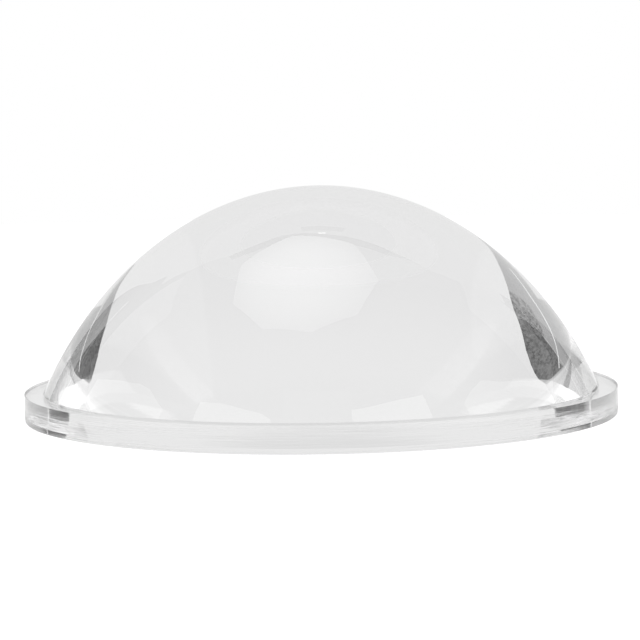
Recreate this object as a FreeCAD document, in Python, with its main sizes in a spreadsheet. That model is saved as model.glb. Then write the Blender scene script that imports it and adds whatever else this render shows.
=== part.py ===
import FreeCAD, Part
import os

import Sketcher

# A clear plano-convex lens, moulded in one piece with the flange round its foot.
# It rests on its flat face.  The origin is the centre of that face, +Z is up through the crown
# of the dome, and sizes are in millimetres.

doc = FreeCAD.newDocument("flanged_lens")


# ---------------------------------------------------------------- sizes

DRIVING_SIZES = (
    # alias, value, what it measures
    ("flange_diameter", 78.0, "outside of the flange, which is what a holder's bore takes"),
    ("flange_thickness", 3.5, "flat face to the ledge that a retaining ring presses on"),
    ("ledge_width", 2.5, "flange's outside in to the foot of the dome"),
    ("dome_height", 26.5, "ledge to crown"),
    ("conic_constant", -0.386, "shape of the dome: 0 would be a sphere, -1 a paraboloid"),
    ("foot_radius", 0.5, "hollow fillet where the dome meets the ledge"),
    ("ledge_edge_radius", 0.3, "rounding of the ledge's outer edge"),
    ("base_edge_radius", 0.4, "rounding of the flat face's outer edge"),
)

# Seen from the side, the dome is the upper end of an upright ellipse centred on the lens axis.
# With s the depth below the crown and K the conic constant, its radius r follows
#     r^2 = 2 R s - (1 + K) s^2
# and the crown radius R is the one that carries the curve through the foot of the dome.
DERIVED_SIZES = (
    ("flange_radius", "=flange_diameter / 2"),
    ("foot_of_dome", "=flange_radius - ledge_width"),
    ("total_height", "=flange_thickness + dome_height"),
    ("crown_radius", "=(foot_of_dome^2 + (1 + conic_constant) * dome_height^2) / (2 * dome_height)"),
    ("ellipse_upright", "=crown_radius / (1 + conic_constant)"),
    ("ellipse_across", "=crown_radius / sqrt(1 + conic_constant)"),
    ("ellipse_centre", "=total_height - ellipse_upright"),
)

sheet = doc.addObject("Spreadsheet::Sheet", "sizes")


def add_size(row, alias, content, meaning=""):
    """One line of the sheet: its name, its value or formula, and what it measures."""
    sheet.set(f"A{row}", alias)
    sheet.set(f"B{row}", content)
    sheet.set(f"C{row}", meaning)
    sheet.setAlias(f"B{row}", alias)


for line, (alias, value, meaning) in enumerate(DRIVING_SIZES, start=1):
    add_size(line, alias, str(value), meaning)
for line, (alias, formula) in enumerate(DERIVED_SIZES, start=len(DRIVING_SIZES) + 1):
    add_size(line, alias, formula)
doc.recompute()


def size(alias):
    """A size from the sheet, as a plain number."""
    return float(sheet.get(alias))


# ---------------------------------------------------------------- lens

# Which point of a sketch line is meant.
START = 1
END = 2
CENTRE = 3
SKETCH_ORIGIN = (-1, START)
SKETCH_UPRIGHT_AXIS = -2


def origin_feature(body, role):
    """One of the body's own origin planes or axes."""
    return next(item for item in body.Origin.OriginFeatures if item.Role == role)


def constrain(sketch, kind, *where):
    """A geometric constraint of a sketch."""
    sketch.addConstraint(Sketcher.Constraint(kind, *where))


def dimension(sketch, kind, where, alias, multiple=1):
    """A sketch dimension that follows a size in the sheet."""
    index = sketch.addConstraint(Sketcher.Constraint(kind, *where, multiple * size(alias)))
    sketch.renameConstraint(index, alias)
    sketch.setExpression(f"Constraints.{alias}", f"{multiple} * {sheet.Name}.{alias}")


def round_corner(sketch, alias, *where):
    """Rounds a corner of a sketch by a size from the sheet, and keeps the corner's dimensions."""
    arc = sketch.GeometryCount
    trim = True
    keep_corner = True
    sketch.fillet(*where, size(alias), trim, keep_corner)
    dimension(sketch, "Radius", (arc,), alias)


def lens_section(body):
    """Half of the lens's section, closed along the axis: flat face, wall, ledge and dome."""
    sketch = body.newObject("Sketcher::SketchObject", "lens_section")
    sketch.AttachmentSupport = [(origin_feature(body, "XZ_Plane"), "")]
    sketch.MapMode = "FlatFace"

    def at(radius, height):
        return FreeCAD.Vector(radius, height, 0)

    centre = at(0, 0)
    rim_low = at(size("flange_radius"), 0)
    rim_high = at(size("flange_radius"), size("flange_thickness"))
    foot = at(size("foot_of_dome"), size("flange_thickness"))
    crown = at(0, size("total_height"))

    # The ellipse is given by its top, its left side and its centre, so it runs anticlockwise
    # and the arc from the foot on the right up to the crown is a single forward span.
    middle = at(0, size("ellipse_centre"))
    left = at(-size("ellipse_across"), size("ellipse_centre"))
    ellipse = Part.Ellipse(crown, left, middle)
    span = Part.ArcOfEllipse(ellipse, ellipse.parameter(foot), ellipse.parameter(crown))

    flat_face = sketch.addGeometry(Part.LineSegment(centre, rim_low))
    wall = sketch.addGeometry(Part.LineSegment(rim_low, rim_high))
    ledge = sketch.addGeometry(Part.LineSegment(rim_high, foot))
    dome = sketch.addGeometry(span)
    axis = sketch.addGeometry(Part.LineSegment(crown, centre))
    foot_corner = sketch.addGeometry(Part.Point(foot), True)
    upright = sketch.GeometryCount
    across = upright + 1
    sketch.exposeInternalGeometry(dome)

    constrain(sketch, "Coincident", flat_face, START, *SKETCH_ORIGIN)
    constrain(sketch, "Coincident", flat_face, END, wall, START)
    constrain(sketch, "Coincident", wall, END, ledge, START)
    constrain(sketch, "Coincident", ledge, END, dome, START)
    constrain(sketch, "Coincident", dome, END, axis, START)
    constrain(sketch, "Coincident", axis, END, *SKETCH_ORIGIN)
    constrain(sketch, "Horizontal", flat_face)
    constrain(sketch, "Horizontal", ledge)
    constrain(sketch, "Vertical", wall)
    constrain(sketch, "Vertical", axis)
    constrain(sketch, "Vertical", upright)
    constrain(sketch, "PointOnObject", dome, CENTRE, SKETCH_UPRIGHT_AXIS)
    dimension(sketch, "DistanceX", (flat_face, START, flat_face, END), "flange_radius")
    dimension(sketch, "DistanceY", (wall, START, wall, END), "flange_thickness")
    dimension(sketch, "Distance", (upright,), "ellipse_upright", multiple=2)
    dimension(sketch, "Distance", (across,), "ellipse_across", multiple=2)

    round_corner(sketch, "base_edge_radius", flat_face, END)
    round_corner(sketch, "ledge_edge_radius", wall, END)
    on_ledge = (rim_high + foot) / 2
    on_dome = ellipse.value(ellipse.parameter(foot + at(0, size("foot_radius"))))
    round_corner(sketch, "foot_radius", ledge, dome, on_ledge, on_dome)
    constrain(sketch, "PointOnObject", foot_corner, START, ledge)
    constrain(sketch, "PointOnObject", foot_corner, START, dome)
    dimension(sketch, "DistanceX", (*SKETCH_ORIGIN, foot_corner, START), "foot_of_dome")
    return sketch


def make_lens():
    """Dome and flange as one moulding, turned from its section."""
    body = doc.addObject("PartDesign::Body", "lens")
    body.Label = "lens"
    turned = body.newObject("PartDesign::Revolution", "turned_section")
    turned.Profile = lens_section(body)
    turned.ReferenceAxis = (origin_feature(body, "Z_Axis"), [""])
    turned.Angle = 360
    body.Tip = turned
    return body


pieces = [make_lens()]


# ---------------------------------------------------------------- checks and files

doc.recompute()
for item in doc.Objects:
    if "Invalid" in item.State or "Error" in item.State:
        raise RuntimeError(f"{item.Label} did not build: {item.State}")

os.makedirs("parts", exist_ok=True)
for piece in pieces:
    shape = piece.Shape
    if shape.isNull() or not shape.isValid():
        raise RuntimeError(f"{piece.Label} has no valid shape")
    shape.exportStep(f"parts/{piece.Label}.step")
    box = shape.optimalBoundingBox(False)
    print(f"{piece.Label}: {box.XLength:.3f} x {box.YLength:.3f} x {box.ZLength:.3f} mm,"
          f" {shape.Volume / 1000:.3f} cm3")
print(f"crown radius {size('crown_radius'):.3f} mm")
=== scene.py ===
# %% [markdown]
# # A flanged lens of clear glass
#
# The object is a single moulding: a steep aspheric dome on a flat face, with a flat flange round its
# foot.  It has no colour of its own.  All that can be seen of it is the studio, bent and reflected
# by its surfaces, so this lesson has two halves that matter equally: an exact surface, and the
# dark and glowing cards that stand round it.  Everything is in metres.

# %% Load the packed model
from math import atan2, cos, degrees, pi, radians, sin, sqrt, tan

import bmesh
import bpy
from mathutils import Matrix, Vector


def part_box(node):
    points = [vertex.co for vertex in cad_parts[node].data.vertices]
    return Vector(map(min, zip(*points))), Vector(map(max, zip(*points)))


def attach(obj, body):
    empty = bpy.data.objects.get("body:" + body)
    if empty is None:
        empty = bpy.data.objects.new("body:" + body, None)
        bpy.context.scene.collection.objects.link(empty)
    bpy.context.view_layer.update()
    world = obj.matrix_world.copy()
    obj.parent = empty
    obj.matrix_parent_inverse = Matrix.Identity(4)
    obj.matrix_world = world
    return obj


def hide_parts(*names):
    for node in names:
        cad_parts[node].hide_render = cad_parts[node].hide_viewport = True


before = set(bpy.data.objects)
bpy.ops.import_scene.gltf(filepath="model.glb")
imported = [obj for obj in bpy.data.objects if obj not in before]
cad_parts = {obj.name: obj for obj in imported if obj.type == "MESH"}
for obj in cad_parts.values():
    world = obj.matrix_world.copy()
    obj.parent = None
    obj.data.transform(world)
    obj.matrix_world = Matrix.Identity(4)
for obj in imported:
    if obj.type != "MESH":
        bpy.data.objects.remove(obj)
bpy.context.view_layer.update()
lens_low, lens_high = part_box("lens")

# %% [markdown]
# ## The lens's sizes
#
# The outside sizes are read from the packed lens, so the mesh made here fills the same box.  The
# others repeat the construction: with s the depth below the crown, the dome's radius r follows
# r^2 = 2 C s - (1 + K) s^2, where K is the conic constant and C the radius of curvature at the
# crown.  That curve is an upright ellipse, which is handy: its angle gives evenly spaced points.

# %% Sizes of the lens
MM = 0.001

flange_radius = (lens_high.x - lens_low.x) / 2
total_height = lens_high.z
ledge_height = 3.5 * MM
ledge_width = 2.5 * MM
dome_foot_radius = flange_radius - ledge_width
conic_constant = -0.386

dome_height = total_height - ledge_height
crown_radius = (dome_foot_radius**2 + (1 + conic_constant) * dome_height**2) / (2 * dome_height)
ellipse_upright = crown_radius / (1 + conic_constant)
ellipse_across = crown_radius / sqrt(1 + conic_constant)
ellipse_centre = total_height - ellipse_upright
print(f"crown radius {crown_radius / MM:.3f} mm")
print(f"ellipse {ellipse_across / MM:.2f} by {ellipse_upright / MM:.2f} mm")

# %% [markdown]
# ## The camera
#
# A long lens, a little above the table, about 40 cm away.  Its place was found from the outline of
# the flange: how open the two ellipses of the wall are gives the height, and how much wider the
# near side is than the far side gives the distance.  The picture leans by about one degree.

# %% Camera
CAMERA_DISTANCE = 0.41313
CAMERA_HEIGHT = 0.05343
CAMERA_DOWN = 0.0992  # radians
CAMERA_LEAN = -0.0160  # radians
FOCAL_IN_PIXELS = 3154.17
PICTURE_WIDTH = 640
SENSOR_WIDTH = 36.0  # millimetres
SEES_FROM, SEES_TO = 0.01, 20

camera_data = bpy.data.cameras.new("camera")
camera_data.sensor_width = SENSOR_WIDTH
camera_data.lens = SENSOR_WIDTH * FOCAL_IN_PIXELS / PICTURE_WIDTH
camera_data.clip_start = SEES_FROM
camera_data.clip_end = SEES_TO
camera = bpy.data.objects.new("camera", camera_data)
bpy.context.scene.collection.objects.link(camera)
camera.matrix_world = (
    Matrix.Translation((0, -CAMERA_DISTANCE, CAMERA_HEIGHT))
    @ Matrix.Rotation(pi / 2 - CAMERA_DOWN, 4, "X")
    @ Matrix.Rotation(CAMERA_LEAN, 4, "Z")
)
bpy.context.scene.camera = camera
bpy.context.scene.view_settings.view_transform = "Standard"
print(f"focal length {camera_data.lens:.2f} mm, {CAMERA_DISTANCE / MM:.0f} mm from the axis")

# %% [markdown]
# ## How often light may turn
#
# Light that enters low on the dome runs round inside the lens: it meets the flat face and the dome
# five times or more before it comes out, and shows as a white wedge at each side.  Left at the
# usual number of bounces such light is cut off, and the wedges turn black.

# %% Light bounces
LIGHT_BOUNCES = 24
cycles = bpy.context.scene.cycles
cycles.max_bounces = cycles.glossy_bounces = cycles.transmission_bounces = LIGHT_BOUNCES
print("light may turn", LIGHT_BOUNCES, "times")

# %% [markdown]
# ## Sums written as sums
#
# Node trees are easier to read when their sums look like sums.  The first class holds one output
# socket, and each operator on it adds a Math node.  Any other node is added by its own type, its
# settings first and then the values or links of its sockets.  Three nodes that come back often have
# a short name of their own.

# %% A small wrapper for node trees
class Wire:
    """An output socket that can be used in ordinary sums."""

    def __init__(self, socket):
        self.socket = socket

    def math(self, operation, *others):
        tree = Tree(self.socket.id_data)
        return tree.node("ShaderNodeMath", {"operation": operation}, [self, *others])

    def __add__(self, other): return self.math("ADD", other)
    def __radd__(self, other): return self.math("ADD", other)
    def __sub__(self, other): return self.math("SUBTRACT", other)
    def __rsub__(self, other): return (self * -1) + other
    def __mul__(self, other): return self.math("MULTIPLY", other)
    def __rmul__(self, other): return self.math("MULTIPLY", other)
    def __truediv__(self, other): return self.math("DIVIDE", other)
    def __pow__(self, other): return self.math("POWER", other)


def grey(value):
    """A grey as a colour."""
    return (value, value, value, 1)


class Tree:
    """A node tree.  One method adds any node, and the others call it."""

    def __init__(self, tree):
        self.tree = tree

    def add(self, kind, settings=None, inputs=()):
        """Adds a node and returns it.  inputs is a list, or a dict by socket name or number."""
        node = self.tree.nodes.new(kind)
        for key, value in (settings or {}).items():
            setattr(node, key, value)
        pairs = inputs.items() if isinstance(inputs, dict) else enumerate(inputs)
        for key, value in pairs:
            if isinstance(value, Wire):
                self.tree.links.new(value.socket, node.inputs[key])
            else:
                node.inputs[key].default_value = value
        return node

    def node(self, kind, settings=None, inputs=(), output=0):
        """Adds a node and returns one of its outputs, ready for sums."""
        return Wire(self.add(kind, settings, inputs).outputs[output])

    def ramp(self, value, start, end, low=0.0, high=1.0):
        """Runs from low at start to high at end, smooth between and level outside."""
        return self.node("ShaderNodeMapRange", {"interpolation_type": "SMOOTHSTEP"},
                         [value, start, end, low, high])

    def noise(self, where, scale, detail=2.0, roughness=0.5):
        """A cloud of values round 0.5."""
        return self.node("ShaderNodeTexNoise", {}, {
            "Vector": where, "Scale": scale, "Detail": detail, "Roughness": roughness})

    def mix_greys(self, factor, low, high):
        """Mixes two greys.  The Mix node's colours are its sockets 6 and 7, and output 2 is the mix."""
        return self.node("ShaderNodeMix", {"data_type": "RGBA"},
                         {0: factor, 6: grey(low), 7: grey(high)}, 2)


print("operators ready:", ", ".join(name for name in vars(Wire) if name.startswith("__r")))

# %% [markdown]
# ## The lens
#
# A lens is turned: one half section spun round the axis.  It could be cut from a sphere or lofted,
# but glass shows every fault of its surface, so the section has to be exact and the rows close
# together where it curves.  A Geometry Nodes tree does it as a lathe would.  It draws the half
# section as a row of points, flat face to crown, lays them out again at each angle round the axis,
# and welds the seam and the two centres.
#
# The edges come first.  The wall has a parting line, where the two halves of the mould met: it
# leans in a little below that line and hardly above it, so that the moulding could leave both
# halves.  The edges are rounded by much less than a millimetre, and the dome meets the ledge in a
# sharp corner.

# %% Edges and draft of the flange
base_edge_radius = 0.15 * MM
ledge_edge_radius = 0.015 * MM
parting_height = 0.7 * MM
lower_draft = radians(4.0)
upper_draft = radians(0.5)

# Where each rounding has its centre, and where it touches the wall.
base_arc_radius_at = (
    flange_radius
    - (parting_height - base_edge_radius) * tan(lower_draft)
    - base_edge_radius / cos(lower_draft)
)
base_arc_touches = (
    base_arc_radius_at + base_edge_radius * cos(lower_draft),
    base_edge_radius - base_edge_radius * sin(lower_draft),
)
ledge_arc_radius_at = (
    flange_radius
    - (ledge_height - ledge_edge_radius - parting_height) * tan(upper_draft)
    - ledge_edge_radius / cos(upper_draft)
)
ledge_arc_touches = (
    ledge_arc_radius_at + ledge_edge_radius * cos(upper_draft),
    ledge_height - ledge_edge_radius + ledge_edge_radius * sin(upper_draft),
)
dome_starts_at = atan2(
    dome_foot_radius / ellipse_across, (ledge_height - ellipse_centre) / ellipse_upright)
print(f"the dome starts {degrees(dome_starts_at):.2f} degrees round its ellipse")

# %% [markdown]
# ## The half section
#
# Each run of the section is a straight curve of evenly spaced points that Set Position moves to
# their places.  How far along its run a point lies comes from the Spline Parameter node.  On the
# flat runs the rows bunch up near the ends, so that the soft shading of a rounded edge stays on the
# edge.

# %% The lathe's tree and its named sizes
ROUND_THE_AXIS = 360
ROWS_ON_DOME = 110
ROWS_ON_FLAT = 12
ROWS_ON_ROUNDING = 24

lathe = bpy.data.node_groups.new("lens_lathe", "GeometryNodeTree")
lathe.interface.new_socket("Geometry", in_out="INPUT", socket_type="NodeSocketGeometry")
lathe.interface.new_socket("Geometry", in_out="OUTPUT", socket_type="NodeSocketGeometry")
LATHE_SIZES = {
    "Flange radius": flange_radius,
    "Ledge height": ledge_height,
    "Ellipse across": ellipse_across,
    "Ellipse upright": ellipse_upright,
    "Ellipse centre": ellipse_centre,
    "Parting height": parting_height,
}
for name in LATHE_SIZES:
    lathe.interface.new_socket(name, in_out="INPUT", socket_type="NodeSocketFloat")
t = Tree(lathe)
group_in = t.add("NodeGroupInput")
given = {name: Wire(group_in.outputs[name]) for name in LATHE_SIZES}
print("the lathe takes", ", ".join(LATHE_SIZES))


# %% Runs of the section
def run_of_points(count, radius_of, height_of):
    """A curve of count points whose radius and height follow how far along it they lie."""
    line = t.node("GeometryNodeCurvePrimitiveLine", {}, {"Start": (0, 0, 0), "End": (1, 0, 0)})
    line = t.node("GeometryNodeResampleCurve", {}, {"Curve": line, "Count": count})
    along = t.node("GeometryNodeSplineParameter")
    spot = t.node("ShaderNodeCombineXYZ", {}, [radius_of(along), height_of(along)])
    return t.node("GeometryNodeSetPosition", {}, {"Geometry": line, "Position": spot})


def flat_run(r0, z0, r1, z1):
    """A straight run, with its rows bunched up near both ends."""
    def eased(along):
        return 0.5 - 0.5 * (along * pi).math("COSINE")
    return run_of_points(
        ROWS_ON_FLAT,
        lambda along: r0 + (r1 - r0) * eased(along),
        lambda along: z0 + (z1 - z0) * eased(along))


def rounding(r, z, radius, start, end):
    """An arc round (r, z), from one angle to another."""
    return run_of_points(
        ROWS_ON_ROUNDING,
        lambda along: r + radius * (start + (end - start) * along).math("COSINE"),
        lambda along: z + radius * (start + (end - start) * along).math("SINE"))


def dome_run():
    """The dome from its foot to the crown, evenly spaced by the ellipse's angle."""
    return run_of_points(
        ROWS_ON_DOME,
        lambda along: given["Ellipse across"] * (dome_starts_at * (1 - along)).math("SINE"),
        lambda along: given["Ellipse centre"]
        + given["Ellipse upright"] * (dome_starts_at * (1 - along)).math("COSINE"))


print("rows: flat", ROWS_ON_FLAT, "rounding", ROWS_ON_ROUNDING, "dome", ROWS_ON_DOME)

# %% Half section, from the centre of the flat face to the crown
section = [
    flat_run(0.0, 0.0, base_arc_radius_at, 0.0),
    rounding(base_arc_radius_at, base_edge_radius, base_edge_radius, -pi / 2, -lower_draft),
    flat_run(*base_arc_touches, given["Flange radius"], given["Parting height"]),
    flat_run(given["Flange radius"], given["Parting height"], *ledge_arc_touches),
    rounding(
        ledge_arc_radius_at, ledge_height - ledge_edge_radius, ledge_edge_radius, upper_draft, pi / 2),
    flat_run(ledge_arc_radius_at, given["Ledge height"], dome_foot_radius, given["Ledge height"]),
    dome_run(),
]
section_rows = 4 * ROWS_ON_FLAT + 2 * ROWS_ON_ROUNDING + ROWS_ON_DOME

# Join Geometry puts the newest link first, so the runs are linked from the last to the first.
joined = t.add("GeometryNodeJoinGeometry")
for run in reversed(section):
    lathe.links.new(run.socket, joined.inputs[0])
half_section = Wire(joined.outputs[0])
print(len(section), "runs,", section_rows, "rows")

# %% [markdown]
# ## Laying the section out round the axis
#
# A flat grid has the right faces already: one side for the rows of the section, the other for the
# angles.  Each of its points looks up its row's place on the section and is turned by its column's
# angle.  A small nudge keeps rounding from putting a point in the row before its own.  Merge by
# Distance then closes the seam and the two centres.  Edges that bend by more than a few degrees are
# shaded sharp, so that the corner at the dome's foot stays a corner.

# %% Lathe
SHARP_FROM = radians(5)
WELD_WITHIN = 1e-7
NUDGE = 1e-4
COLUMNS = ROUND_THE_AXIS + 1

grid = t.node("GeometryNodeMeshGrid", {}, {
    "Size X": 1.0, "Size Y": 1.0, "Vertices X": section_rows, "Vertices Y": COLUMNS}, "Mesh")
number = t.node("GeometryNodeInputIndex")
row = (number / COLUMNS + NUDGE).math("FLOOR")
column = number - row * COLUMNS
spot = t.node("GeometryNodeSampleIndex", {"data_type": "FLOAT_VECTOR", "domain": "POINT"}, {
    "Geometry": half_section, "Value": t.node("GeometryNodeInputPosition"), "Index": row})
radius, height = (Wire(socket) for socket in t.add("ShaderNodeSeparateXYZ", {}, [spot]).outputs[:2])
turn = column * (2 * pi / ROUND_THE_AXIS)
turned_spot = t.node("ShaderNodeCombineXYZ", {}, [
    radius * turn.math("COSINE"), radius * turn.math("SINE"), height])
turned = t.node("GeometryNodeSetPosition", {}, {"Geometry": grid, "Position": turned_spot})
welded = t.node("GeometryNodeMergeByDistance", {}, {"Geometry": turned, "Distance": WELD_WITHIN})
smooth = t.node("GeometryNodeSetShadeSmooth", {}, {"Geometry": welded, "Shade Smooth": True})
corner = t.node("GeometryNodeInputMeshEdgeAngle").math("GREATER_THAN", SHARP_FROM)
creased = t.node("GeometryNodeSetShadeSmooth", {"domain": "EDGE"}, {
    "Geometry": smooth, "Selection": corner, "Shade Smooth": False})
realized = t.node("GeometryNodeRealizeInstances", {}, {"Geometry": creased})

clear_glass = bpy.data.materials.new("clear_glass")
finished = t.node("GeometryNodeSetMaterial", {}, {"Geometry": realized, "Material": clear_glass})
t.add("NodeGroupOutput", {}, [finished])
print("the lathe's tree has", len(lathe.nodes), "nodes")

# %% Turn the lens
blank = bpy.data.objects.new("lens_blank", bpy.data.meshes.new("lens_blank"))
bpy.context.scene.collection.objects.link(blank)
turning = blank.modifiers.new("lathe", "NODES")
turning.node_group = lathe
for item in lathe.interface.items_tree:
    if item.in_out == "INPUT" and item.name in LATHE_SIZES:
        turning[item.identifier] = LATHE_SIZES[item.name]
bpy.context.view_layer.update()
evaluated = blank.evaluated_get(bpy.context.evaluated_depsgraph_get())
lens_mesh = bpy.data.meshes.new_from_object(evaluated)
lens_mesh.name = "turned_lens"
bpy.data.objects.remove(blank)
print("turned", len(lens_mesh.vertices), "points")

# %% Check the turning: closed, and its faces outwards
checked = bmesh.new()
checked.from_mesh(lens_mesh)
bmesh.ops.recalc_face_normals(checked, faces=checked.faces)
if checked.calc_volume(signed=True) < 0:
    bmesh.ops.reverse_faces(checked, faces=checked.faces)
open_edges = sum(1 for edge in checked.edges if len(edge.link_faces) != 2)
volume = checked.calc_volume(signed=True)
triangles = sum(len(face.verts) - 2 for face in checked.faces)
checked.to_mesh(lens_mesh)
checked.free()
print(f"lens: {triangles} triangles, {open_edges} open edges, {volume * 1e6:.3f} cm3")

# %% Hand the lens over
lens = bpy.data.objects.new("turned_lens", lens_mesh)
bpy.context.scene.collection.objects.link(lens)
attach(lens, "root")
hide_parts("lens")
print("the lens measures", [round(side / MM, 3) for side in lens.dimensions], "mm")

# %% [markdown]
# ## Clear glass
#
# The body is colourless pressed glass.  Its index of refraction is taken as 1.49, between
# borosilicate and crown glass: with it the dark crescents and the white wedges come out in their
# places.  A perfect surface would look drawn, and the real one is handled: its wall still has the
# fine lines of the turned mould and is worn where it faces the front, the dome is very slightly
# wavy, and it has faint scratches, a few grains of dust and a breath of haze.  Waves and lines are
# bumps.  Whatever lies on the surface is a second, pale shader, mixed in by how much of it covers
# each place.

# %% Places on the lens
clear_glass.use_nodes = True
clear_glass.node_tree.nodes.clear()
m = Tree(clear_glass.node_tree)
place = m.node("ShaderNodeTexCoord", {}, (), "Object")
x, y, z = (Wire(socket) for socket in m.add("ShaderNodeSeparateXYZ", {}, [place]).outputs)
from_axis = (x * x + y * y) ** 0.5
round_axis = y.math("ARCTAN2", x)

# Each mask rises or falls between two places.
WALL_FROM_AXIS = 38.82 * MM, 38.88 * MM
WALL_WEAR_ENDS = 5 * MM, 18 * MM
DOME_FROM_TABLE = 3 * MM, 4 * MM
DOME_WEAR_ENDS = -12 * MM, 2 * MM
on_wall = m.ramp(from_axis, *WALL_FROM_AXIS) * m.ramp(y, *WALL_WEAR_ENDS, 1.0, 0.0)
on_front_of_dome = m.ramp(y, *DOME_WEAR_ENDS, 1.0, 0.0) * m.ramp(z, *DOME_FROM_TABLE)
print("masks for the wall and for the front of the dome")

# %% [markdown]
# ## Lines round the wall
#
# The wall's lines run round the axis, so their noise is read on an unrolled wall: much finer in
# height than along the turn.

# %% Turned lines
LINES_ALONG_TURN = 1.2
LINES_IN_HEIGHT = 1400
LINE_SCALE, LINE_DETAIL, LINE_UNEVENNESS = 1.6, 4.0, 0.6
WORN_BETWEEN = 0.50, 0.70

unrolled = m.node("ShaderNodeCombineXYZ", {}, [
    round_axis * LINES_ALONG_TURN, z * LINES_IN_HEIGHT, from_axis * LINES_IN_HEIGHT])
turned_lines = m.noise(unrolled, LINE_SCALE, LINE_DETAIL, LINE_UNEVENNESS)
worn_lines = m.ramp(turned_lines, *WORN_BETWEEN)
print(f"lines about {1 / (LINES_IN_HEIGHT * LINE_SCALE * MM):.2f} mm apart")

# %% [markdown]
# ## Scratches, dust and haze
#
# A scratch is noise that is drawn out along one direction and of which only the crests are kept.
# Two directions are enough, and a patchy cloud leaves most of the dome free of them.  For the dust
# a texture divides the space into cells, and a few of the cells get one grain each.

# %% Scratches
# Of each direction: how it is turned, how fine across, how drawn out, and where its crests begin.
SCRATCH_DIRECTIONS = [
    ((0.3, 0.5, 0.4), 2600, 0.03, 0.70),
    ((-0.7, 0.2, -0.9), 2200, 0.025, 0.71),
]
CREST = 0.04
SCRATCHED_PATCHES, SCRATCHED_BETWEEN = 90, (0.50, 0.62)


def scratches(turned_by, fineness, drawn_out, crests_from):
    """Thin crests of noise along one direction."""
    spun = m.node("ShaderNodeMapping", {}, {"Vector": place, "Rotation": turned_by})
    stretch = (fineness, fineness * drawn_out, fineness)
    drawn = m.node("ShaderNodeVectorMath", {"operation": "MULTIPLY"}, [spun, stretch])
    return m.ramp(m.noise(drawn, 1.0, 1.0), crests_from, crests_from + CREST)


one_way, other_way = (scratches(*direction) for direction in SCRATCH_DIRECTIONS)
in_patches = m.ramp(m.noise(place, SCRATCHED_PATCHES), *SCRATCHED_BETWEEN)
scratched = one_way.math("MAXIMUM", other_way) * in_patches
print("scratches in", len(SCRATCH_DIRECTIONS), "directions")

# %% Dust and haze
DUST_CELLS = 420.0
GRAIN_EDGE = 0.025, 0.045
DUSTY_BETWEEN = 0.80, 0.82
FINEST = 2400
HAZE_PATCHES, HAZE_DETAIL, HAZY_BETWEEN = 45, 3.0, (0.42, 0.66)

cells = m.add("ShaderNodeTexVoronoi", {}, {"Vector": place, "Scale": DUST_CELLS})
grain = m.ramp(Wire(cells.outputs["Distance"]), *GRAIN_EDGE, 1.0, 0.0)
cell_draw = m.node("ShaderNodeSeparateColor", {}, [Wire(cells.outputs["Color"])])
dust = grain * m.ramp(cell_draw, *DUSTY_BETWEEN)

fine = m.noise(place, FINEST)
haze = fine * m.ramp(m.noise(place, HAZE_PATCHES, HAZE_DETAIL), *HAZY_BETWEEN)
print(f"dust lies in cells of {1 / (DUST_CELLS * MM):.1f} mm")

# %% Waves and lines as bumps
WAVE_HEIGHT, WAVE_SCALE, WAVE_DETAIL = 0.006 * MM, 130, 1.0
LINE_HEIGHT = 0.012 * MM
wavy = m.node("ShaderNodeBump", {}, {
    "Strength": 1.0, "Distance": WAVE_HEIGHT, "Height": m.noise(place, WAVE_SCALE, WAVE_DETAIL)})
lined = m.node("ShaderNodeBump", {}, {
    "Strength": 1.0, "Distance": LINE_HEIGHT, "Height": turned_lines * on_wall, "Normal": wavy})
print(f"waves {WAVE_HEIGHT / MM} mm high, lines {LINE_HEIGHT / MM} mm high")

# %% The two shaders
INDEX_OF_REFRACTION = 1.49
WALL_ROUGHNESS, ROUGHER_ON_LINES = 0.01, 0.04
DULLEST, PALEST, CLOUDED_ROUGHNESS = 0.62, 0.74, 0.6

polished = m.node("ShaderNodeBsdfPrincipled", {}, {
    "Base Color": grey(1),
    "Roughness": on_wall * (WALL_ROUGHNESS + ROUGHER_ON_LINES * turned_lines),
    "IOR": INDEX_OF_REFRACTION,
    "Transmission Weight": 1.0,
    "Normal": lined,
})
clouded = m.node("ShaderNodeBsdfPrincipled", {}, {
    "Base Color": m.mix_greys(fine, DULLEST, PALEST), "Roughness": CLOUDED_ROUGHNESS})
print("polished glass of index", INDEX_OF_REFRACTION, "and what clouds it")

# %% How much covers each place
SCRATCH_COVERS, GRAIN_COVERS, HAZE_COVERS = 0.06, 0.22, 0.014
WALL_COVERS, WORN_LINES_COVER = 0.01, 0.11

covered = (
    (scratched * SCRATCH_COVERS + dust * GRAIN_COVERS) * on_front_of_dome
    + on_wall * (WALL_COVERS + WORN_LINES_COVER * worn_lines)
    + haze * HAZE_COVERS
)
m.add("ShaderNodeOutputMaterial", {}, [m.node("ShaderNodeMixShader", {}, [covered, polished, clouded])])
print("clear glass has", len(clear_glass.node_tree.nodes), "nodes")

# %% [markdown]
# ## The studio
#
# Every tone in a clear lens is a piece of its surroundings.  The broad grey of the dome is a pale
# backdrop seen through the flat face, by one reflection.  The two dark crescents are what stands
# beside the backdrop, and the bright lines in them are gaps there.  The pale quads low on the dome
# are boxes of light beside the camera, and the large one above is an eight-sided softbox overhead.
#
# So the studio is made of cards.  They are seen in the lens but not by the camera, which sees plain
# white behind it.  Distances are in flange radii.  Azimuth 0 is straight behind the lens, positive
# to the right; elevations are seen from the lens.

# %% Cards
R = flange_radius


def studio_mesh(name, points, faces, material):
    """A plain mesh of the studio, which the camera doesn't see."""
    mesh = bpy.data.meshes.new(name)
    mesh.from_pydata(points, [], faces)
    mesh.materials.append(material)
    thing = bpy.data.objects.new(name, mesh)
    bpy.context.scene.collection.objects.link(thing)
    thing.visible_camera = False
    return thing


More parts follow.
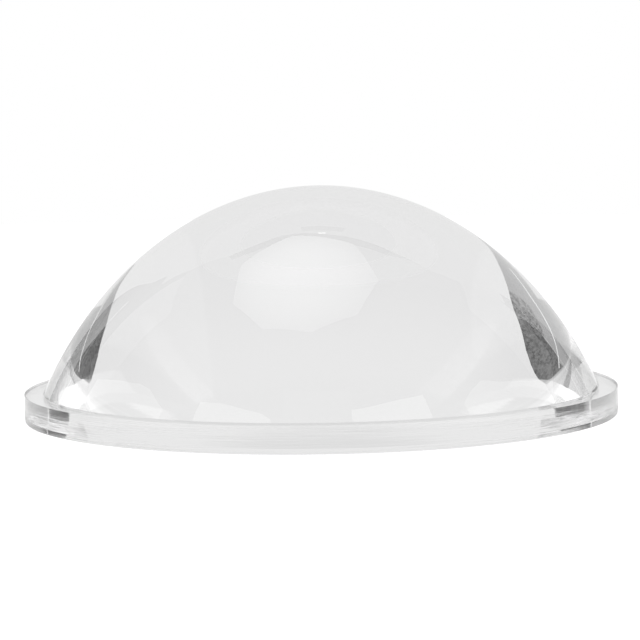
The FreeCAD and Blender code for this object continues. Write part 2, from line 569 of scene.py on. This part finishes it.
def glowing(name, strength, shade=None):
    """A material that shines.  shade builds its colour where it isn't even."""
    material = bpy.data.materials.new(name)
    material.use_nodes = True
    material.node_tree.nodes.clear()
    s = Tree(material.node_tree)
    colour = shade(s) if shade else grey(1)
    s.add("ShaderNodeOutputMaterial", {}, [
        s.node("ShaderNodeEmission", {}, {"Color": colour, "Strength": strength})])
    return material


def strip(name, material, low_line, high_line):
    """A card between two lines that have the same number of points."""
    points = [point for pair in zip(low_line, high_line) for point in pair]
    faces = [(2 * i, 2 * i + 2, 2 * i + 3, 2 * i + 1) for i in range(len(low_line) - 1)]
    return studio_mesh(name, points, faces, material)


print("one flange radius is", round(R / MM, 2), "mm")

# %% [markdown]
# ## The backdrop
#
# The backdrop's side edges draw the inner edges of the dark crescents, so its outline is given by
# its width at several heights.  It shines a little more low in the middle.

# %% Backdrop
BACKDROP_AT = 10
BACKDROP_HIGH, BACKDROP_LOW = 0.805, 0.835
DIMS_UPWARDS = 1.2 * R, 3.2 * R
DIMS_SIDEWAYS = 2.5 * R, 5.5 * R
# Height, left edge, right edge.
BACKDROP = [
    (-0.05, -8.8, 10.0), (0.66, -7.1, 8.8), (1.0, -6.7, 8.5), (1.28, -6.46, 8.3),
    (1.83, -6.2, 8.05), (2.9, -6.19, 8.0), (3.3, -6.15, 8.0), (3.8, -6.3, 8.2),
    (4.9, -6.84, 8.71), (6.2, -7.54, 9.6), (8.8, -9.2, 10.6), (11.6, -10.0, 10.6),
]


def backdrop_shade(s):
    """A little brighter low in the middle."""
    spot = s.node("ShaderNodeTexCoord", {}, (), "Object")
    across = s.node("ShaderNodeSeparateXYZ", {}, [spot]).math("ABSOLUTE")
    height = s.node("ShaderNodeSeparateXYZ", {}, [spot], "Z")
    dimmed = s.ramp(height, *DIMS_UPWARDS).math("MAXIMUM", s.ramp(across, *DIMS_SIDEWAYS))
    return s.mix_greys(dimmed, BACKDROP_LOW, BACKDROP_HIGH)


strip("backdrop", glowing("backdrop", 1.0, backdrop_shade),
      [(left * R, BACKDROP_AT * R, z * R) for z, left, right in BACKDROP],
      [(right * R, BACKDROP_AT * R, z * R) for z, left, right in BACKDROP])
print("backdrop:", len(BACKDROP), "rows")

# %% [markdown]
# ## The ceiling
#
# A pale canopy hangs above the backdrop.  Its far edge is the faint arc that crosses the dome, with
# a dark gap beyond it.  A beam and the bright clamp of the softbox hang below that edge.

# %% Canopy, gap, beam and clamp
def hanging_card(name, strength, distance, edge):
    """A card overhead.  Its edge is given as azimuths and elevations round it."""
    points = []
    for azimuth, elevation in edge:
        az, el = radians(azimuth), radians(elevation)
        points.append(distance * R * Vector((sin(az) * cos(el), cos(az) * cos(el), sin(el))))
    count = len(points)
    points.append(sum(points, Vector()) / count)
    faces = [(i, (i + 1) % count, count) for i in range(count)]
    return studio_mesh(name, [tuple(point) for point in points], faces, glowing(name, strength))


CANOPY_FAR_EDGE = [
    (-45.7, 56.8), (-41.0, 60.0), (-33.2, 62.1), (-22.9, 63.7), (-10.0, 65.6), (1.2, 67.0),
    (19.1, 66.6), (32.1, 64.9), (39.6, 63.4), (47.7, 61.0), (52.2, 57.8),
]
hanging_card("canopy", 0.80, 24, [
    (-47.0, 37.5), (-47.2, 41.0), (-48.2, 46.1), (-46.6, 51.5), *CANOPY_FAR_EDGE,
    (56.9, 54.0), (56.5, 48.1), (54.2, 41.4), (51.2, 35.0), (49.4, 31.0),
    (30, 31), (25, 38), (0, 38), (-25, 38)])
hanging_card("gap", 0.02, 25, [
    *CANOPY_FAR_EDGE,
    (48, 65), (38, 68), (24, 70.5), (5, 71), (-12, 70), (-28, 67.5), (-42, 64), (-49, 59)])
hanging_card("beam", 0.40, 20, [(-9.2, 61.4), (13.9, 61.5), (14.1, 64.6), (-9.5, 64.8)])
hanging_card("clamp", 3.0, 19.9, [(-0.2, 66.3), (4.5, 66.3), (4.7, 67.2), (-0.2, 67.2)])
print("ceiling: canopy, gap, beam and clamp")

# %% [markdown]
# ## Dark things beside the backdrop
#
# Two dark shapes stand beside the backdrop, nearer than the rest of the room.  They are uneven,
# with streaks that lean.  A narrow gap of light beside each is the bright line in its crescent.

# %% Round cards
DEGREES_PER_FACE = 4


def round_points(distance, places):
    """Points on a cylinder round the lens, from azimuths and elevations."""
    away = distance * R
    return [(away * sin(radians(az)), away * cos(radians(az)), away * tan(radians(el)))
            for az, el in places]


def leaning_card(name, strength, distance, low_line, high_line, shade=None):
    """A card between two lines of azimuths and elevations."""
    return strip(name, glowing(name, strength, shade),
                 round_points(distance, low_line), round_points(distance, high_line))


def round_card(name, strength, distance, stations, shade=None):
    """A card bent round the lens.  A station is an azimuth and the card's low and high elevation."""
    low_line, high_line = [], []
    for (az_a, low_a, high_a), (az_b, low_b, high_b) in zip(stations, stations[1:]):
        pieces = max(1, round(abs(az_b - az_a) / DEGREES_PER_FACE))
        for step in range(pieces):
            part = step / pieces
            low_line.append((az_a + (az_b - az_a) * part, low_a + (low_b - low_a) * part))
            high_line.append((az_a + (az_b - az_a) * part, high_a + (high_b - high_a) * part))
    az, low, high = stations[-1]
    low_line.append((az, low))
    high_line.append((az, high))
    return leaning_card(name, strength, distance, low_line, high_line, shade)


print("one face for every", DEGREES_PER_FACE, "degrees")

# %% Slits and streaks
STREAKS_LEAN, STREAKS_STRETCHED = (0.0, 0.5, 0.0), (1.0, 1.0, 2.0)
STREAK_SCALE, STREAK_DETAIL, STREAK_UNEVENNESS = 95.0, 2.0, 0.6
STREAKS_BETWEEN = 0.35, 0.65


def slit(name, strength, distance, line, width):
    """A narrow gap that light comes through, along a line of azimuths and elevations."""
    return leaning_card(name, strength, distance,
                        [(az - width / 2, el) for az, el in line],
                        [(az + width / 2, el) for az, el in line])


def mottled(low, high):
    """Builds an uneven shade with streaks that lean."""
    def shade(s):
        spot = s.node("ShaderNodeTexCoord", {}, (), "Object")
        leaning = s.node("ShaderNodeMapping", {}, {
            "Vector": spot, "Rotation": STREAKS_LEAN, "Scale": STREAKS_STRETCHED})
        uneven = s.noise(leaning, STREAK_SCALE, STREAK_DETAIL, STREAK_UNEVENNESS)
        spread = s.node("ShaderNodeMapRange", {}, [uneven, *STREAKS_BETWEEN, 0.0, 1.0])
        return s.mix_greys(spread, low, high)
    return shade


print(f"streaks about {1 / (STREAK_SCALE * MM):.0f} mm apart")

# %% Dark shapes and the slits beside them
round_card("dark_left", 1.0, 14, [
    (-28, 2.6, 14.5), (-35, 2.6, 14), (-37.1, 2.5, 12.6), (-39.4, 1.8, 12.0), (-41.1, 1.5, 10.0),
    (-43.6, 1.5, 8.1), (-46.2, 1.7, 5.7), (-47.2, 1.7, 3.7), (-50.1, 1.7, 1.9)], mottled(0.03, 0.17))
round_card("dark_left_top", 1.0, 15, [
    (-28, 10, 19.6), (-34.0, 10, 19.6), (-37.3, 10, 18.6), (-39.8, 10, 17.1), (-41.3, 10, 12)],
    mottled(0.12, 0.36))
round_card("dark_right", 1.0, 14, [
    (28, 3.0, 14.5), (39.7, 3.0, 14.2), (41.5, 3.0, 12.7), (42.5, 2.7, 11.9), (45, 2.0, 10.3),
    (46.1, 1.7, 9.6), (48.6, 0.9, 7.2), (51.3, 0.5, 4.9), (56.0, 0.3, 0.9)], mottled(0.005, 0.11))
slit("slit_left", 1.0, 12, [
    (-42.6, 27), (-43.0, 19.8), (-44.2, 16.4), (-45.5, 12.6), (-46.2, 8.2), (-46.4, 3.1),
    (-46.5, 2.5)], 0.55)
slit("slit_right", 1.0, 12, [
    (46.3, 28), (47.3, 23.8), (47.3, 20.4), (47.2, 16.4), (47.9, 12.4), (48.1, 9.9), (48.8, 7.2),
    (49.4, 2.9), (49.5, 2.5)], 0.5)
print("three dark shapes and two slits")

# %% [markdown]
# ## The sides and the front
#
# Beyond the dark shapes the room is grey.  Two bright windows at the sides are the pale shapes low
# on the left and right of the dome.  Beside the camera stand two boxes of light, and two tall
# panels that light the wedges.

# %% Grey room, side windows and front boxes
ROUND_CARDS = {
    # name: (strength, distance, stations)
    "mid_left": (0.38, 22, [(-69, 1.0, 20), (-50, 1.0, 20), (-50, 1.0, 45), (-20, 1.0, 45)]),
    "mid_right": (0.31, 22, [(20, 1.0, 45), (50, 1.0, 45), (50, 1.0, 20), (70, 1.0, 20)]),
    "light_at_floor": (0.9, 21.9, [(38, -1.5, 1.3), (49, -1.5, 1.3)]),
    "pale_left": (0.75, 22.5, [(-69, 19, 45), (-48, 19, 45)]),
    "pale_right": (0.75, 22.5, [(48, 19, 45), (70, 19, 45)]),
    "side_left": (1.35, 20, [
        (-105, 20, 33.5), (-93.5, 20, 34.6), (-86.6, 20, 33.3), (-75.3, 20, 29),
        (-69.5, 20, 26.4), (-62, 19, 22.7)]),
    "side_right": (1.35, 20, [
        (66, 19, 23.4), (72.8, 20, 26.3), (78, 20, 28.8), (88.3, 20, 33.1),
        (97.6, 20, 37.2), (105.8, 20, 37.2), (112, 20, 36)]),
    "low_left": (0.35, 22, [(-120, -1, 16), (-69, -1, 16)]),
    "low_right": (0.35, 22, [(70, -1, 16), (128, -1, 16)]),
    "front_left": (1.2, 20, [(-161, 8.8, 24), (-147, 8.8, 24)]),
    "front_right": (1.2, 20, [(151.5, 8.8, 24), (165, 8.8, 24)]),
    "front_left_box": (1.9, 19.5, [
        (-156.6, 35.5, 41.2), (-151.2, 35.5, 42.3), (-141.1, 35.5, 42.3),
        (-130.7, 35.5, 41.8), (-121.0, 35.5, 40.0)]),
    "front_right_box": (1.9, 19.5, [
        (129.2, 35.5, 42.9), (140.8, 35.5, 44.0), (151.1, 35.5, 44.3), (165.8, 35.5, 44.0)]),
    "front_left_low": (0.55, 20.4, [(-146, -1, 35.5), (-120, -1, 35.5)]),
    "front_right_low": (0.42, 20.4, [(128, -1, 35.5), (151.5, -1, 35.5)]),
    "front_centre": (0.70, 22, [(165, -1, 50), (199, -1, 50)]),
}
for name, (strength, distance, stations) in ROUND_CARDS.items():
    round_card(name, strength, distance, stations)
print(len(ROUND_CARDS), "round cards")

# %% [markdown]
# ## Feet of the tall panels
#
# The white wedges end in a point at the sides.  What they see there is the foot of each tall panel:
# its outer edge leans outwards towards the floor, and the floor beside it is pale.

# %% Feet of the tall panels
leaning_card("front_left_foot", 1.25, 20,
             [(-161, -1), (-154, -1), (-147, -1), (-140.8, -1)],
             [(-161, 8.8), (-156, 8.8), (-151, 8.8), (-147, 8.8)])
leaning_card("front_right_foot", 1.25, 20,
             [(148.8, -1), (154, -1), (160, -1), (165, -1)],
             [(151.5, 8.8), (156, 8.8), (161, 8.8), (165, 8.8)])
round_card("beside_left_foot", 0.95, 20.2, [
    (-148, -1, 9.5), (-143.5, -1, 8.6), (-141, -1, 8.0), (-137.5, -1, 7.6)])
round_card("further_left", 0.78, 20.2, [(-137.5, -1, 7.6), (-126, -1, 7.0)])
round_card("beside_right_foot", 0.78, 20.2, [(138, -1, 8), (152, -1, 8)])
print("two feet, and pale cards beside them")

# %% [markdown]
# ## The softbox overhead
#
# Its eight sides show in the dome, and so does its hot centre: the cloth shines most in front of
# the lamp and less than half as much at the rim.

# %% Softbox
SOFTBOX_AT = Vector((-0.74, -0.36, 8.0)) * R
SOFTBOX_CORNER = 3.32 * R
SOFTBOX_SIDES = 8
SOFTBOX_TURN = 5
SOFTBOX_CENTRE, SOFTBOX_RIM = 2.54, 1.083


def softbox_shade(s):
    """Brightest in front of the lamp."""
    spot = s.node("ShaderNodeTexCoord", {}, (), "Object")
    away = s.node("ShaderNodeVectorMath", {"operation": "DISTANCE"}, [spot, tuple(SOFTBOX_AT)], "Value")
    out = (away / SOFTBOX_CORNER).math("MINIMUM", 1.0)
    return s.mix_greys(out * out, 1.0, SOFTBOX_RIM / SOFTBOX_CENTRE)


corners = [radians(SOFTBOX_TURN + 360 / SOFTBOX_SIDES * k) for k in range(SOFTBOX_SIDES)]
studio_mesh("overhead_softbox",
            [tuple(SOFTBOX_AT + SOFTBOX_CORNER * Vector((cos(a), sin(a), 0))) for a in corners],
            [tuple(range(SOFTBOX_SIDES))],
            glowing("overhead_softbox", SOFTBOX_CENTRE, softbox_shade))
print(f"softbox {2 * SOFTBOX_CORNER / MM:.0f} mm across, {SOFTBOX_AT.z / MM:.0f} mm up")

# %% [markdown]
# ## The floor
#
# The camera sees a white floor that keeps the lens's faint shade.  The lens itself sees paper whose
# light and shade are painted into its glow: the painted shadow of the lens is darkest under it and pale
# round it, the paper is brighter to the sides, and a little greyer further away.

# %% How bright the paper is
FLOOR_RADIUS = 9.9 * R
FAR_FLOOR_RADIUS = 60 * R
FLOOR_AT = -0.05 * MM
FLOOR_GLOW, FLOOR_CLOTH, FAR_FLOOR_GLOW = 0.72, 0.6, 0.84
BRIGHTEST = 1.05
# The paper's glow is painted light and shade: darkest in the painted shadow under the lens, paler near
# it.
SHADOW_UNDER_LENS, NEAR_LENS, FURTHER_OFF = 0.60, 0.82, 0.80
# Distances here are pairs, in flange radii: where a change begins, and where it is complete.
CLEAR_OF_LENS, SHEET_FROM, FURTHER_OFF_FROM = (0.88, 0.95), (1.0, 1.1), (2.4, 3.2)
# How much darker the paper gets, and between which distances.
NEAR_FALL = 0.08, (1.9, 2.2)
SHEET_FALLS = [(0.17, (3.6, 5.0)), (0.08, (6.2, 6.8))]
# The sines of the angles off the y axis between which the paper turns into the bright sheet.
SHEET_BESIDE = 0.18, 0.42


def paper_on_floor(s, place):
    """How brightly the floor shines into the lens."""
    away = s.node("ShaderNodeVectorMath", {"operation": "LENGTH"}, [place], "Value")

    def past(start, end):
        return s.ramp(away, start * R, end * R)

    sideways = s.node("ShaderNodeSeparateXYZ", {}, [place]).math("ABSOLUTE") / away
    beside = s.ramp(sideways, *SHEET_BESIDE) * past(*SHEET_FROM)
    near_fall, near_between = NEAR_FALL
    near = NEAR_LENS - near_fall * past(*near_between)
    beyond = past(*FURTHER_OFF_FROM)
    behind = near * (1 - beyond) + FURTHER_OFF * beyond
    sheet = BRIGHTEST
    for fall, between in SHEET_FALLS:
        sheet = sheet - fall * past(*between)
    outside = behind * (1 - beside) + sheet * beside
    clear_of_lens = past(*CLEAR_OF_LENS)
    return outside * clear_of_lens + SHADOW_UNDER_LENS * (1 - clear_of_lens)


print("the lens sees paper from", SHADOW_UNDER_LENS, "to", BRIGHTEST)

# %% Floor material and floor
floor_material = bpy.data.materials.new("floor")
floor_material.use_nodes = True
floor_material.node_tree.nodes.clear()
s = Tree(floor_material.node_tree)
place = s.node("ShaderNodeTexCoord", {}, (), "Object")
level = paper_on_floor(s, place) / BRIGHTEST
into_lens = s.node("ShaderNodeEmission", {}, {
    "Color": s.mix_greys(level, 0.0, 1.0), "Strength": BRIGHTEST})
shown = s.node("ShaderNodeAddShader", {}, [
    s.node("ShaderNodeEmission", {}, {"Color": grey(1), "Strength": FLOOR_GLOW}),
    s.node("ShaderNodeBsdfDiffuse", {}, {"Color": grey(FLOOR_CLOTH)})])
seen_by_camera = s.node("ShaderNodeLightPath", {}, (), "Is Camera Ray")
s.add("ShaderNodeOutputMaterial", {}, [
    s.node("ShaderNodeMixShader", {}, [seen_by_camera, into_lens, shown])])


def disc(name, radius, height, material, sides=64):
    """A flat round floor."""
    points = [(radius * cos(2 * pi * k / sides), radius * sin(2 * pi * k / sides), height)
              for k in range(sides)]
    return studio_mesh(name, points, [tuple(range(sides))], material)


floor = disc("floor", FLOOR_RADIUS, FLOOR_AT, floor_material)
floor.visible_camera = True
disc("far_floor", FAR_FLOOR_RADIUS, 2 * FLOOR_AT, glowing("far_floor", FAR_FLOOR_GLOW))
print(f"floor {2 * FLOOR_RADIUS:.2f} m across")

# %% [markdown]
# ## The room
#
# Past all cards the camera sees white.  The lens sees a soft grey room, at about half of white.

# %% Room
room = bpy.data.worlds.new("room")
bpy.context.scene.world = room
room.use_nodes = True
room.node_tree.nodes.clear()
s = Tree(room.node_tree)
ROOM_LIGHT, WHITE = 0.55, 1.0
seen_by_camera = s.node("ShaderNodeLightPath", {}, (), "Is Camera Ray")
s.add("ShaderNodeOutputWorld", {}, [s.node("ShaderNodeMixShader", {}, [
    seen_by_camera,
    s.node("ShaderNodeBackground", {}, {"Color": grey(1), "Strength": ROOM_LIGHT}),
    s.node("ShaderNodeBackground", {}, {"Color": grey(1), "Strength": WHITE})])])
print("room light", ROOM_LIGHT)

# %% [markdown] ## The end The visual lens is sized from the box of the packed one.
